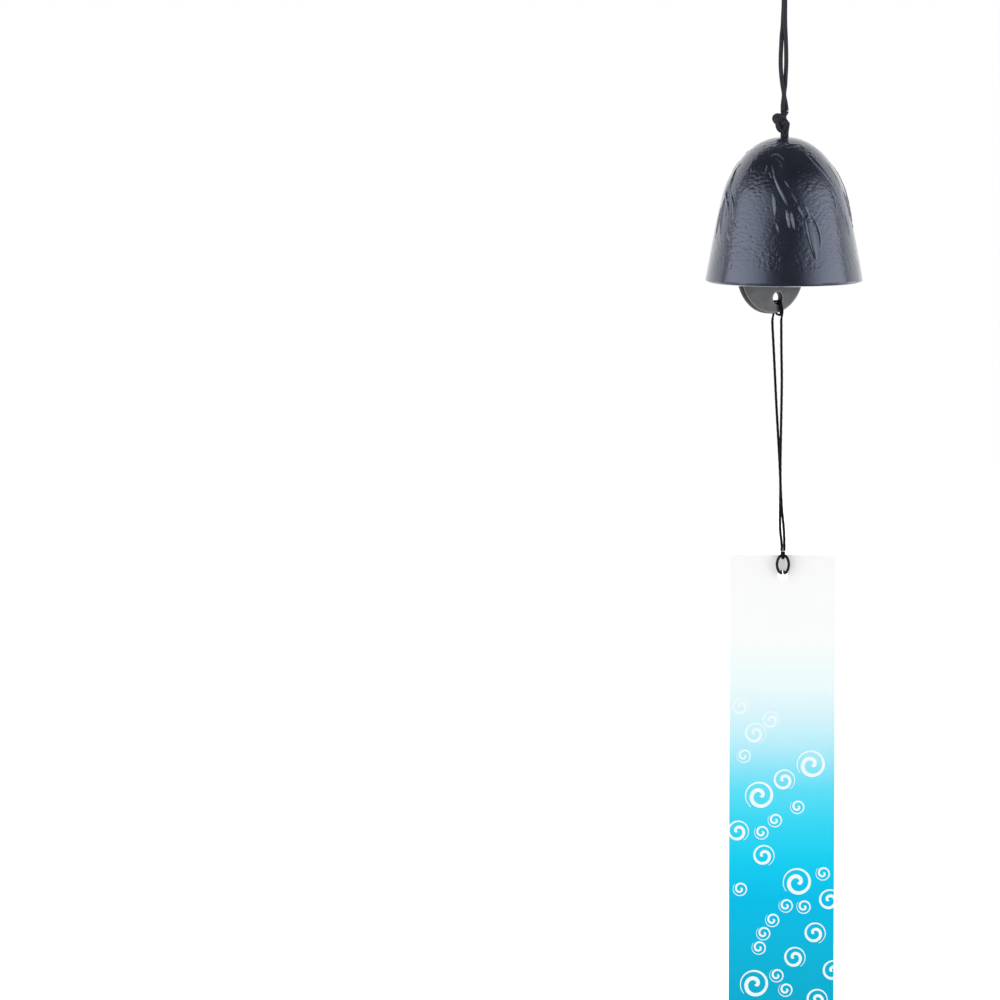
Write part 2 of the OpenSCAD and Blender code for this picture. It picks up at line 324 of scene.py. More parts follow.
# across the braid's ridges, whose middle line is then the cord's own size
BRAID_D = 1.93
LOOP_ROUTE = [
    (-0.9, -0.4, -79.7), (-0.8, -0.7, -76.5), (-0.4, -1, -72.5), (-1, -0.7, -68.5),
    (-1.5, -0.4, -64.5), (-1.8, 0, -60), (-1.8, 0.2, -55.5), (-1.6, 0.3, -51),
    (-1.4, 0.5, -46.5), (-1, 0.7, -42.5), (-0.8, 0.9, -38.5), (-0.6, 1, -34),
    (-0.5, 1.1, -29.5), (-0.4, 1.4, -25), (-0.3, 1.9, -20.5), (-0.2, 2.6, -16),
    (-0.1, 3.3, -11.5), (0, 3.8, -7.5), (0, 3.8, -4), (0, 3.2, -1.2),
    (0, 1.8, 0.4), (0, 0, 0.9), (0, -1.8, 0.4), (0, -3.2, -1.2),
    (0, -3.8, -4), (0, -3.8, -7.5), (0, -3.3, -11.5), (0, -2.6, -16),
    (0, -1.9, -20.5), (0, -1.4, -25), (0, -1.1, -29.5), (0, -1, -34),
    (0, -0.9, -38.5), (0.1, -0.8, -42.5), (0.3, -0.6, -46.5), (0.5, -0.5, -51),
    (0.6, -0.3, -55.5), (0.6, 0, -60), (0.4, 0.5, -64.5), (0.2, 0.7, -68.5),
    (-0.2, 1, -72.5), (0.5, 0.8, -76.5), (0.9, 0.4, -79.7),
]
TAIL_RIGHT = [
    (-1.1, 0.5, -172), (-1.1, 0.5, -175), (-1, 0.4, -186), (-0.8, 0.2, -198),
    (-0.9, 0, -210), (-1.1, -0.3, -222), (-1.3, -0.6, -236), (-1.2, -0.7, -246),
    (-0.6, -0.6, -256), (0.3, -0.4, -265), (0.6, 0, -272), (0.6, 0, -275.2),
]
TAIL_LEFT = [
    (-4.9, 3.3, -172), (-4.9, 3.3, -175), (-4.3, 2.9, -186), (-3.7, 2.4, -198),
    (-3.1, 2, -210), (-2.4, 1.5, -222), (-1.6, 1, -236), (-1.2, 0.8, -246),
    (-1.3, 0.6, -256), (-1.3, 0.3, -265), (-0.6, 0, -272), (-0.6, 0, -275.2),
]


def braided(path, d, carriers=8, pitch=5.2, sides=32, depth=0.16):
    """A braided cord: strands that wind both ways and pass over and under each other."""
    run = run_along(path)
    turn = np.linspace(0, 1, sides, endpoint=False)[None, :]
    along = run[:, None] / pitch
    half = carriers / 2
    u, v = half * (turn + along), half * (turn - along)
    over = np.sin(math.pi * (u + v)) * np.sin(math.pi * (u - v)) > 0
    ridge_u = np.sqrt(np.abs(np.sin(math.pi * u)))
    ridge_v = np.sqrt(np.abs(np.sin(math.pi * v)))
    height = np.where(over, ridge_u, ridge_v)
    # the last value, how deep in a groove each vertex lies, is where the material paints shade
    return *tube(path, d / 2 * (1 - depth + depth * height), sides), (1 - height).ravel()


def laid(path, d, plies=3, pitch=3.4, sides=15, depth=0.1):
    """A twisted thread of a few plies."""
    run = run_along(path)
    turn = np.linspace(0, 2 * math.pi, sides, endpoint=False)[None, :]
    swell = np.abs(np.cos(plies / 2 * (turn + 2 * math.pi * run[:, None] / pitch / plies)))
    # the last value, how deep between the plies each vertex lies, is where the material paints
    # shade
    return *tube(path, d / 2 * (1 - depth + depth * swell), sides), (1 - swell).ravel()


def declared_cord(name, body, slot, material, made, node):
    obj = piece(name, body, slot, material, *made, stands_for=(node,))
    return obj


loop_path = smooth_route(LOOP_ROUTE, 0.16)
declared_cord(
    "cord_loop", "hanger", "cord", CORD, braided(loop_path, BRAID_D),
    "hanging_loop",
)
for side, route in (("right", TAIL_RIGHT), ("left", TAIL_LEFT)):
    path = smooth_route(route, 0.4)
    declared_cord(
        "tail_thread_" + side, "tail", "thread", THREAD, laid(path, TAIL_D),
        "tail_line",
    )


# The bell. Its outline is the model's own, as radius against depth below the crown.
CROWN_Z = -91.2
WALL = 3.0
RIM_ROUND = 1.0
CROWN_HOLE_R = 2.4
DOME = np.array([(0, 0), (16.77, 0), (24.25, 17.05), (26.2, 22)], float)
SKIRT = np.array([(26.2, 22), (28.3, 27.36), (33.9, 57.3), (35, 64.2)], float)


def bezier(p, t):
    t = t[:, None]
    return ((1 - t) ** 3 * p[0] + 3 * t * (1 - t) ** 2 * p[1] + 3 * t**2 * (1 - t) * p[2]
            + t**3 * p[3])


t = np.linspace(0, 1, 400)
OUTLINE = np.vstack([bezier(DOME, t)[:-1], bezier(SKIRT, t)])


def outline_r(depth):
    return np.interp(depth, OUTLINE[:, 1], OUTLINE[:, 0])


def turned_in(line, depth):
    """The line moved towards the bell's inside."""
    way = unit(np.gradient(line, axis=0))
    return line + depth * np.stack([-way[:, 1], way[:, 0]], axis=1)


# Relief: drooping leaves and their stems, placed after the photograph. Each stroke
# is a half width and a height, then its points as seen from the front, as distance to the
# right and depth below the crown.
STROKES = [
    # middle spray
    (0.42, 0.42, [(-6.8, 9.6), (-5.6, 8.2), (-3.4, 8.2), (-1.4, 10.0), (0.0, 12.4)]),
    (0.36, 0.32, [(-4.8, 9.6), (-2.6, 11.2), (-0.6, 13.0)]),
    (0.36, 0.30, [(-3.4, 11.4), (-1.0, 14.4)]),
    (0.45, 0.32, [(-8.2, 12.4), (-9.0, 15.6), (-9.2, 17.8)]),
    (0.42, 0.36, [(-6.4, 12.2), (-5.6, 15.6), (-5.0, 18.6)]),
    (0.72, 0.62, [(-5.7, 16.2), (-4.4, 20.2), (-2.7, 24.2), (-1.1, 27.6), (0.3, 30.8)]),
    (0.38, 0.30, [(-7.6, 15.4), (-6.2, 19.0)]),
    (0.45, 0.36, [(-1.0, 19.2), (1.7, 23.4)]),
    (0.72, 0.62, [(-5.9, 25.0), (-5.6, 28.4), (-5.3, 32.0), (-5.0, 35.8)]),
    (0.66, 0.66, [(-0.3, 32.2), (0.3, 36.0), (1.1, 40.8)]),
    (0.62, 0.62, [(1.5, 32.8), (2.3, 36.8), (3.1, 41.4)]),
    (0.40, 0.28, [(1.6, 24.2), (3.2, 27.2), (4.6, 30.0)]),
    (0.55, 0.50, [(4.6, 30.2), (5.8, 32.8), (7.0, 35.8)]),
    (0.70, 0.55, [(7.5, 29.8), (8.8, 32.6), (9.7, 35.6)]),
    (1.90, 0.85, [(8.6, 35.2), (10.0, 40.5), (11.2, 46.0), (12.6, 53.4)]),
    (0.70, 0.50, [(11.2, 35.2), (13.2, 39.0), (14.6, 43.6), (15.0, 49.6)]),
    (0.50, 0.32, [(-4.6, 38.0), (-3.4, 42.4)]),
    # right spray
    (0.80, 0.74, [(7.4, 6.6), (12.4, 12.2), (16.6, 17.2), (20.4, 22.4), (23.6, 28.0),
                  (25.6, 33.4), (27.4, 39.5)]),
    (0.72, 0.56, [(10.6, 8.0), (15.6, 13.4), (19.6, 18.6), (22.2, 23.4)]),
    (0.56, 0.24, [(18.2, 11.6), (22.2, 17.4), (24.8, 22.8)]),
    (0.80, 0.72, [(21.2, 25.4), (23.8, 30.4), (25.2, 36.0), (26.4, 42.0)]),
    (0.92, 0.78, [(23.8, 29.8), (26.6, 36.8), (28.4, 43.8)]),
    (0.70, 0.66, [(19.2, 23.0), (21.4, 28.6), (22.6, 34.8)]),
    (0.64, 0.62, [(25.8, 24.2), (28.0, 31.0), (29.4, 37.8)]),
    # left spray
    (0.74, 0.42, [(-19.2, 11.2), (-22.4, 16.0), (-24.2, 22.0), (-25.4, 28.6),
                  (-26.8, 36.4)]),
    (0.84, 0.80, [(-21.6, 14.6), (-23.6, 19.6), (-25.8, 25.0), (-25.2, 31.0),
                  (-25.6, 37.4)]),
    (0.92, 0.80, [(-26.6, 27.0), (-28.2, 36.4), (-28.6, 43.2)]),
    (0.70, 0.64, [(-24.0, 25.0), (-23.0, 31.0), (-23.4, 36.6)]),
    (0.64, 0.58, [(-28.6, 30.0), (-30.0, 38.0), (-30.6, 45.0)]),
    (0.52, 0.50, [(-22.6, 38.4), (-22.0, 41.0)]),
    (0.50, 0.44, [(-25.4, 41.6), (-24.8, 46.8)]),
]
# how much lighter a crest is painted, by its height, the tallest stems most: partly worn lacquer,
# partly painted highlight
CREST_RUB_AND_HIGHLIGHT = [(0, 0), (0.45, 0.69), (0.66, 0.69), (0.72, 1)]
# A leaf wider than FLAT_LEAF has a flat top, and a leaf wider than the second number gets less of
# the crests' lighter colour.
FLAT_LEAF, WHOLE_RUB_AND_HIGHLIGHT = 0.9, 0.72
# The strokes, and their copies behind: the turn in degrees, the hand and the drop. Strokes
# that start further to a side than SIDE_SPRAY stand in front only.
COPIES = [(0, 1, 0), (146, -1, 1.5), (182, 1, 0.6), (240, -1, -1)]
SIDE_SPRAY = 17
# how steeply the camera looks down on the bell
SIN_P, COS_P = 0.0484, 0.9988


def from_front(points):
    """Angle round the bell and depth of points seen from the front, a little from above."""
    x, v = np.asarray(points, float).T
    depth = v.copy()
    for _ in range(8):
        r = outline_r(depth)
        depth = (v - np.sqrt(np.maximum(r * r - x * x, 0)) * SIN_P) / COS_P
        depth = np.maximum(depth, 0.5)
    return np.arcsin(np.clip(x / outline_r(depth), -0.98, 0.98)), depth


def on_bell(angle, depth):
    r = outline_r(depth)
    return np.stack([r * np.sin(angle), -r * np.cos(angle), CROWN_Z - depth], axis=1)


def stroke_copies():
    """The strokes in front, and the same plants turned and changed a little behind."""
    for turn, flip, drop in COPIES:
        for half, height, points in STROKES:
            if turn and abs(points[0][0]) > SIDE_SPRAY:
                continue
            angle, depth = from_front(smooth_route([(*p, 0) for p in points], 0.3)[:, :2])
            yield half, height, on_bell(flip * angle + math.radians(turn), depth + drop)


def relief(points):
    """Height of the relief at each point of the bell's plain surface, and how much lighter its
    crest is painted there, wide leaves less: partly worn lacquer, partly painted highlight."""
    out, rub_and_highlight = np.zeros(len(points)), np.zeros(len(points))
    for half, height, line in stroke_copies():
        share = np.linspace(0, 1, len(line))
        taper = np.sin(math.pi * (0.06 + 0.88 * share**0.8)) ** 0.7
        low, high = line.min(axis=0) - half, line.max(axis=0) + half
        near = np.where(((points > low) & (points < high)).all(axis=1))[0]
        for part in np.array_split(near, max(1, len(near) // 4000)):
            if len(part) == 0:
                continue
            gap = np.linalg.norm(points[part, None, :] - line[None, :, :], axis=2)
            k = gap.argmin(axis=1)
            fall = 1 - gap[np.arange(len(part)), k] / (half * taper[k])
            fall = np.clip(fall * max(1, half / FLAT_LEAF), 0, 1)
            rise = height * taper[k] * (fall * fall * (3 - 2 * fall))
            out[part] = np.maximum(out[part], rise)
            crest_lightening = np.interp(height, *zip(*CREST_RUB_AND_HIGHLIGHT)) * min(1, WHOLE_RUB_AND_HIGHLIGHT / half) ** 1.7
            crest_lightening = crest_lightening * (rise / height) ** 1.5
            rub_and_highlight[part] = np.maximum(rub_and_highlight[part], crest_lightening)
    return out, rub_and_highlight


def noise_at(points, per_mm, seed):
    """Smooth noise from -1 to 1. per_mm is one number for each axis."""
    shift = np.array([seed * 17.3, seed * 5.1, seed * 9.7])
    return np.array([noise.noise(Vector(p)) for p in (points * per_mm + shift).tolist()])


# Pits: how many in all, how deep below the crown they may lie, then the clusters near the
# rim: how many, their angle in degrees, its spread in radians, their depth and its spread.
PITS = 420
PIT_TOP, PIT_FOOT = 3, 56.5
CLUSTERS = [(70, -11, 0.14, 52.5, 2.2), (40, -35, 0.2, 40, 9)]
# how deep the orange peel ends
SMOOTH_FROM = 57.2


def cast_texture(points, depth):
    """The sand-cast skin: slow waves, orange peel and pits, but smooth near the rim."""
    rough = 1 - 0.85 * np.clip(depth - SMOOTH_FROM, 0, 1)
    waves = 0.10 * noise_at(points, (0.11, 0.11, 0.09), 1)
    peel = noise_at(points, (0.55, 0.55, 1.0), 2) + 0.6 * noise_at(points, (1.1, 1.1, 1.9), 3)
    patch = np.clip(0.65 + 0.9 * noise_at(points, (0.09, 0.09, 0.09), 4), 0.2, 1.2)
    height = waves + 0.112 * peel * patch * rough
    # pits, most of them scattered and some in the two clusters near the rim
    turn = rng.uniform(0, 2 * math.pi, PITS)
    deep = rng.uniform(PIT_TOP, 57, PITS)
    start = 0
    for count, degrees, turn_spread, middle, deep_spread in CLUSTERS:
        own = slice(start, start + count)
        turn[own] = math.radians(degrees) + rng.normal(0, turn_spread, count)
        deep[own] = middle + rng.normal(0, deep_spread, count)
        start += count
    places = on_bell(turn, np.clip(deep, PIT_TOP, PIT_FOOT))
    for at, size in zip(places, rng.uniform(0.3, 0.62, PITS)):
        near = np.where((np.abs(points - at) < size).all(axis=1))[0]
        gap = np.linalg.norm(points[near] - at, axis=1) / size
        height[near] -= 0.3 * size * np.clip(1 - gap * gap, 0, 1) ** 2
    return height


def make_bell(segments=640):
    outer = OUTLINE[OUTLINE[:, 0] > CROWN_HOLE_R + 0.4]
    way = unit(SKIRT[3] - SKIRT[2])
    q = np.array([-way[1], way[0]])
    outer = outer[((outer - SKIRT[3]) @ way) < -RIM_ROUND]
    outer = resampled(outer, 0.33)
    a = np.linspace(0, math.pi / 2, 7)[:, None]
    first = SKIRT[3] + RIM_ROUND * q - RIM_ROUND * way
    second = SKIRT[3] + (WALL - RIM_ROUND) * q - RIM_ROUND * way
    rim = np.vstack([
        first + RIM_ROUND * (np.sin(a) * way - np.cos(a) * q),
        second + RIM_ROUND * (np.cos(a) * way + np.sin(a) * q),
    ])
    inner = turned_in(OUTLINE, WALL)[::-1]
    inner = inner[(((inner - SKIRT[3]) @ way) < -RIM_ROUND) & (inner[:, 0] > CROWN_HOLE_R + 0.3)]
    inner = resampled(inner, 1.3)
    lip = 0.35
    hole = np.array([
        (CROWN_HOLE_R + 0.1, WALL - 0.1), (CROWN_HOLE_R, WALL - lip), (CROWN_HOLE_R, 1.5),
        (CROWN_HOLE_R, lip), (CROWN_HOLE_R + 0.1, 0.1),
    ])
    line = np.vstack([outer, rim, inner, hole])
    rows = len(line)
    ends = line[(np.arange(rows) + 1) % rows] - line[np.arange(rows) - 1]
    out = unit(np.stack([ends[:, 1], -ends[:, 0]], axis=1))
    angle = np.linspace(0, 2 * math.pi, segments, endpoint=False)
    s, c = np.sin(angle)[None, :], -np.cos(angle)[None, :]

    def turned(p):
        return np.stack([p[:, :1] * s, p[:, :1] * c, np.repeat(p[:, 1:], segments, axis=1)],
                        axis=2).reshape(-1, 3)

    verts = turned(np.stack([line[:, 0], CROWN_Z - line[:, 1]], axis=1))
    normals = turned(np.stack([out[:, 0], -out[:, 1]], axis=1))
    n_out = len(outer) * segments
    depth = np.repeat(line[:, 1], segments)
    edge = np.clip((verts[:n_out, 0] ** 2 + verts[:n_out, 1] ** 2) ** 0.5 - 2.8, 0, 2) / 2
    height = np.zeros(len(verts))
    raised, rub_and_highlight = relief(verts[:n_out])
    height[:n_out] = edge * (raised + cast_texture(verts[:n_out], depth[:n_out]))
    # where the crests are painted lighter: partly worn lacquer, partly painted highlight
    worn = np.zeros(len(verts))
    worn[:n_out] = edge * rub_and_highlight
    inside = slice(n_out + len(rim) * segments, (rows - len(hole)) * segments)
    height[inside] = 0.12 * noise_at(verts[inside], (0.35, 0.35, 0.35), 6)
    verts = verts + normals * height[:, None]
    i, k = np.divmod(np.arange(rows * segments), segments)
    up, side = (i + 1) % rows, (k + 1) % segments
    faces = np.stack([i * segments + k, up * segments + k, up * segments + side,
                      i * segments + side], axis=1)
    return verts, [tuple(f) for f in faces.tolist()], worn


*bell_mesh, bell_rub_and_highlight = make_bell()
bell_piece = piece("bell_shell", "bell", "bell_iron", IRON, *bell_mesh, stands_for=("bell",))
# the crests' lighter colour, partly worn lacquer and partly a painted highlight
painted(bell_piece, "worn", bell_rub_and_highlight)


# Knots and threads
def relaxed(points, step, passes):
    """A route of straight runs with its corners worn round, its two ends where they were."""
    p = resampled(np.asarray(points, float), step)
    for _ in range(passes):
        p[1:-1] = 0.25 * p[:-2] + 0.5 * p[1:-1] + 0.25 * p[2:]
    return resampled(p, step)


def overhand(centre, size, depth, lean=30, cut=95):
    """The middle of an overhand knot that bulges to the left, from its top to its bottom.
    It is a trefoil, leant and cut open at its right side, both in degrees."""
    t = np.radians(np.linspace(cut, 480 - cut, 60))
    x, y = np.sin(t) + 2 * np.sin(2 * t), np.cos(t) - 2 * np.cos(2 * t)
    c, s = math.cos(math.radians(lean)), math.sin(math.radians(lean))
    return np.asarray(centre) + np.stack(
        [size * (c * x + s * y), -depth * np.sin(3 * t), size * (c * y - s * x)], axis=1
    )


def doubled(path, apart, twist, tops, bottoms):
    """Two strands side by side along a path, with their own end points. twist is their
    first and last turn about it, in degrees from side by side in depth."""
    one, two = frames_along(path, (0, 1, 0))
    a = np.radians(np.linspace(*twist, len(path)))[:, None]
    off = apart / 2 * (np.cos(a) * one + np.sin(a) * two)
    out = []
    for sign, top, bottom in ((1, tops[0], bottoms[0]), (-1, tops[1], bottoms[1])):
        out.append(relaxed(np.vstack([top, (path + sign * off)[3:-3], bottom]), 0.16, 12))
    return out


KNOT_STRAND_D = 1.75
knot_path = np.vstack([
    [(0.2, 0.2, -81.0)], overhand((-1.4, 0, -84.6), 1.05, 1.25, lean=0, cut=74),
    [(0.9, 0.2, -87.6)],
])
strands = doubled(
    knot_path, 1.6, (90, 120),
    ([(-0.9, -0.4, -79.9), (-0.8, -0.2, -80.5)], [(0.9, 0.4, -79.9), (0.8, 0.4, -80.5)]),
    ([(-0.9, 0, -88.9), (-0.9, 0, -89.5)], [(0.9, 0, -88.9), (0.9, 0, -89.5)]),
)
piece(
    "crown_knot_cord", "knot", "cord", CORD,
    *joined([braided(s, BRAID_D) for s in strands]), stands_for=("crown_knot",),
)

# The neck runs between the knot and the bell, rides on no body, and starts in the knot.
neck = [resampled(np.array([(s * 0.9, 0, -88.9), (s * 0.9, 0, -94.6)]), 0.16) for s in (-1, 1)]
neck_piece = piece(
    "neck_cord", None, "cord", CORD, *joined([braided(s, CORD_D) for s in neck]),
    stands_for=("cord_neck",),
)
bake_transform(neck_piece)

stop_path = np.vstack([
    [(0.3, 0, -95.2)], overhand((-0.5, 0, -97.5), 0.72, 1.3), [(0.6, 0, -99.6)],
])
strands = doubled(
    stop_path, 1.5, (0, 270),
    ([(-0.9, 0, -94.4), (-0.8, 0, -94.9)], [(0.9, 0, -94.4), (0.8, 0, -94.9)]),
    ([(-0.4, -0.6, -100.2), (-0.6, -0.8, -100.8)], [(0.8, 0.6, -100.2), (1.0, 0.8, -100.8)]),
)
bight = smooth_route([
    (-1.2, -1.0, -97.2), (-2.8, -1.1, -98.0), (-4.3, -0.9, -99.2), (-5.1, -0.2, -100.1),
    (-4.9, 0.7, -100.2), (-4.0, 1.0, -99.4), (-2.6, 1.0, -98.2), (-1.2, 0.9, -97.6),
], 0.16)
piece(
    "stopper_knot_cord", "bell", "cord", CORD,
    *joined([braided(s, KNOT_STRAND_D) for s in strands] + [braided(bight, 1.6)]),
    stands_for=("stopper_knot",),
)


# The clapper's threads, along the model's own routes
THREAD_GAP = 0.1
REST_GAP = 0.3
CLAPPER_D, CLAPPER_T = 38.0, 3.0
CLAPPER_HOLE_R, CLAPPER_HOLE_AT = 2.7, 12.6
CLAPPER_TURN, CLAPPER_ROLL = math.radians(40), math.radians(13.8)
CLAPPER_AT = np.array([-6, -0.6, -150.4])
LOWER_HOLE = CLAPPER_HOLE_AT * np.array([math.sin(CLAPPER_ROLL), 0, -math.cos(CLAPPER_ROLL)])


def on_disc(p):
    """Points of the disc's own frame, x along it, y through it and z up, in the model's."""
    p = np.asarray(p, float)
    c, s = math.cos(CLAPPER_TURN), math.sin(CLAPPER_TURN)
    return CLAPPER_AT + np.stack(
        [c * p[:, 0] - s * p[:, 1], s * p[:, 0] + c * p[:, 1], p[:, 2]], axis=1
    )


OFF = CLAPPER_T / 2 + REST_GAP + THREAD_D / 2
BEAR = CLAPPER_HOLE_R - (REST_GAP + THREAD_D) / 2


def over_edge(side, bear, foot, up, lean=0):
    """The way of a thread through a hole, from the disc's front to its back. lean is how
    far to the side it starts and ends."""
    return [
        (side + lean, -OFF, foot), (side, -OFF, bear + up),
        (side, -OFF + 0.25, bear + up * 0.25), (side, -OFF + 1, bear),
        (side, OFF - 1, bear), (side, OFF - 0.25, bear + up * 0.25),
        (side, OFF, bear + up), (side + lean, OFF, foot),
    ]


LINE_TOP = np.array([-4.4, 0, -104.998])
# half the way between two strands side by side
APART = (THREAD_D + THREAD_GAP) / 2
line_foot = CLAPPER_D / 2 - CLAPPER_HOLE_AT + THREAD_D
line_route = np.vstack([
    [LINE_TOP + (APART, -APART, 0.4), LINE_TOP + (APART, -APART, -1)],
    on_disc(-LOWER_HOLE + np.array(over_edge(0, BEAR, line_foot, 1))),
    [LINE_TOP + (-APART, APART, -1), LINE_TOP + (-APART, APART, 0.4)],
])
piece(
    "clapper_thread", "clapper", "thread", THREAD,
    *laid(relaxed(line_route, 0.2, 14), THREAD_D), stands_for=("clapper_line",),
)

one_strand = relaxed(np.vstack([
    [(-4.4 + APART, -APART, -104.6), (-4.4 + APART, -APART, -104.2)],
    overhand((-4.4, 0, -103.2), 0.4, 0.6)[::-1],
    [(-4.4, 0.2, -102.2), (-4.6, 0.3, -101.8)],
]), 0.12, 4)
other_strand = relaxed(np.vstack([
    [(-4.4 - APART, APART, -104.6), (-4.4 - APART, APART, -104.2)],
    overhand((-4.4, 0, -103.1), -0.4, 0.55),
    [(-4.2, -0.2, -102.2), (-4.3, -0.3, -101.8)],
]), 0.12, 4)
piece(
    "line_knot_thread", "line_top", "thread", THREAD,
    *joined([laid(one_strand, 0.9), laid(other_strand, 0.9)]), stands_for=("line_knot",),
)

turn_side = 0.9
right, left = turn_side + APART, turn_side - APART
turn_bear = -math.sqrt(BEAR**2 - right**2)
past_edge = -CLAPPER_D / 2 + CLAPPER_HOLE_AT - THREAD_D / 2
# The turn leans to the right, and hangs clear of the disc's edge when the tail swings.
lean = 0.8
under_right, under_left = past_edge - 0.35, past_edge - 0.8
turn_foot = TAIL_RIGHT[0][2] - CLAPPER_AT[2] - LOWER_HOLE[2]
turn_route = on_disc(LOWER_HOLE + np.array(
    [(right, -OFF, turn_foot)] + over_edge(right, turn_bear, under_right + 1, -1, lean)
    + [(right + lean, OFF - 0.4, under_right), (left + lean, -OFF + 0.4, under_left)]
    + over_edge(left, turn_bear, under_left + 1, -1, lean) + [(left, OFF, turn_foot)]
))
piece(
    "tail_turn_thread", "tail", "thread", THREAD,
    *laid(relaxed(turn_route, 0.2, 14), THREAD_D), stands_for=("tail_hitch",),
)


# The clapper: a cast disc with worn edges and two holes
def make_disc():
    rounding = 0.45
    flat = CLAPPER_D / 2 - rounding
    holes = [np.array([LOWER_HOLE[0], LOWER_HOLE[2]]), -np.array([LOWER_HOLE[0], LOWER_HOLE[2]])]
    hole_r = CLAPPER_HOLE_R + 0.3

    def circle(centre, radius, count):
        a = np.linspace(0, 2 * math.pi, count, endpoint=False)
        return centre + radius * np.stack([np.cos(a), np.sin(a)], axis=1)

    rims = [(circle(np.zeros(2), flat, 220), np.zeros(2), flat, -1)]
    rims += [(circle(h, hole_r, 48), h, hole_r, 1) for h in holes]
    grid = np.stack(np.meshgrid(np.arange(-19, 19, 0.6), np.arange(-19, 19, 0.6)), axis=2)
    grid = grid.reshape(-1, 2) + rng.uniform(-0.12, 0.12, (grid.size // 2, 2))
    keep = np.linalg.norm(grid, axis=1) < flat - 0.4
    for h in holes:
        keep &= np.linalg.norm(grid - h, axis=1) > hole_r + 0.4
    points = np.vstack([r[0] for r in rims] + [grid[keep]])
    edges, start = [], 0
    for line, *_ in rims:
        n = len(line)
        edges += [(start + k, start + (k + 1) % n) for k in range(n)]
        start += n
    made = delaunay_2d_cdt([Vector(p) for p in points.tolist()], edges, [], 0, 1e-5)
    flat_verts = np.array([tuple(v) for v in made[0]])
    middle = np.array([flat_verts[list(f)].mean(axis=0) for f in made[2]])
    inside = np.linalg.norm(middle, axis=1) < flat
    for h in holes:
        inside &= np.linalg.norm(middle - h, axis=1) > hole_r - 0.02
    tris = [tuple(f) for f, ok in zip(made[2], inside) if ok]
    n = len(flat_verts)
    worn = 0.07 * noise_at(np.column_stack([flat_verts, np.zeros(n)]), (0.5, 0.5, 1), 8)
    worn += 0.05 * noise_at(np.column_stack([flat_verts, np.zeros(n)]), (1.3, 1.3, 1), 9)
    worn[:start] = 0
    front = np.column_stack([flat_verts[:, 0], -CLAPPER_T / 2 - worn, flat_verts[:, 1]])
    rear = np.column_stack([flat_verts[:, 0], CLAPPER_T / 2 - worn, flat_verts[:, 1]])
    # where the edges get their painted highlight
    edge_highlight = np.zeros(2 * n)
    edge_highlight[:start] = edge_highlight[n:n + start] = 1
    skin = [np.zeros(2 * n)]
    verts = [front, rear]
    faces = tris + [tuple(n + i for i in reversed(f)) for f in tris]
    top, start = 2 * n, 0
    for line, centre, radius, sign in rims:
        count = len(line)
        way = (line - centre) / radius
        depth = 0.3 if sign > 0 else rounding
        rings = [np.arange(start, start + count)]
        for a in np.linspace(0, math.pi, 11)[1:-1]:
            out = radius - sign * depth * math.sin(a)
            y = -(CLAPPER_T / 2 - depth) * (1 if a < math.pi / 2 else -1) - depth * math.cos(a)
            if abs(a - math.pi / 2) < 0.01:
                y = 0
            ring = centre + out * way
            verts.append(np.column_stack([ring[:, 0], np.full(count, y), ring[:, 1]]))
            # how dark the rim and the hole walls are painted: partly cast skin, partly painted
            # shade
            skin.append(np.full(count, min(1, math.sin(a) / 0.58) ** 2))
            rings.append(np.arange(top, top + count))
            top += count
        rings.append(np.arange(n + start, n + start + count))
        for one, two in zip(rings[:-1], rings[1:]):
            for k in range(count):
                m = (k + 1) % count
                quad = (one[k], one[m], two[m], two[k])
                faces.append(tuple(int(i) for i in (quad if sign < 0 else quad[::-1])))
        start += count
    skin = np.concatenate(skin)
    edge_highlight = np.concatenate([edge_highlight, np.ones(len(skin) - 2 * n)])
    return on_disc(np.vstack(verts)), faces, edge_highlight, skin


*disc_mesh, disc_edge_highlight, disc_skin_and_shade = make_disc()
disc_piece = piece("clapper_disc", "clapper", "disc_iron", DISC, *disc_mesh,
                   stands_for=("clapper",))
# the edges' painted highlight, and the rim's and holes' dark, partly cast skin and partly painted
# shade
painted(disc_piece, "edge", disc_edge_highlight)
painted(disc_piece, "skin", disc_skin_and_shade)


# The wire ring and the thread's hitch on it
WIRE_D = 1.25
# the oval's half width and half height
RING_A, RING_B = 2.625, 4.175
END_X = (WIRE_D + 0.35) / 2
END_Z = -285.182
HOOK_Y = 3.275


def make_ring():
    """An oval whose two ends run back through the strip's hole and up behind it."""
    end_angle = math.asin(END_X / RING_A)
    ring_z = END_Z + RING_B * math.cos(end_angle)
    a = np.linspace(end_angle, 2 * math.pi - end_angle, 90)
    oval = np.stack([-RING_A * np.sin(a), 0 * a, ring_z - RING_B * np.cos(a)], axis=1)
    ends = np.array([
        (HOOK_Y, END_Z + 3.2), (HOOK_Y, END_Z + 0.6), (HOOK_Y - 0.6, END_Z), (0.5, END_Z),
    ])
    left_end = np.column_stack([np.full(4, -END_X), ends])
    right_end = np.column_stack([np.full(4, END_X), ends[::-1]])
    return tube(relaxed(np.vstack([left_end, oval, right_end]), 0.12, 8), WIRE_D / 2, 20)


piece("ring_wire", "ring", "wire", WIRE, *make_ring(), stands_for=("wire_ring",))

HITCH_Z = -277.205
WRAP_R = 1.16
COLLAR_R = 0.62


